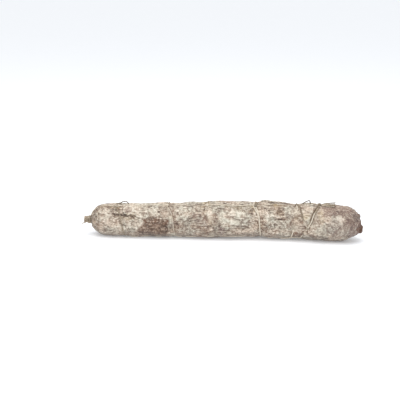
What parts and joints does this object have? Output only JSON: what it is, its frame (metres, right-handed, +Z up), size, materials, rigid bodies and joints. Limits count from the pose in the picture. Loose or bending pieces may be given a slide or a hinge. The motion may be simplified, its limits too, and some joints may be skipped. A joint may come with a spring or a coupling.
{
  "type": "felino salami",
  "caption": "Long dry-cured salami in mouldy natural casing, hand-tied with crossing turns of hemp twine, thin tied end and thick blunt end, lying on its side.",
  "frame": {"origin": "centre of the whole part's footprint box, on the surface that it lies on", "axes": "+X along the salami from the thin tied end to the thick blunt end, +Z up, -Y the side shown in the picture"},
  "size_m": [0.4499, 0.0671, 0.0629],
  "materials": {
    "casing": "dry natural casing under a powdery cream-white mould, worn to brown skin in patches, very matte",
    "twine": "twisted hemp string, fuzzy, dusted with mould"
  },
  "bodies": {
    "root": {"salami": "casing", "twine": "twine"}
  },
  "joints": []
}
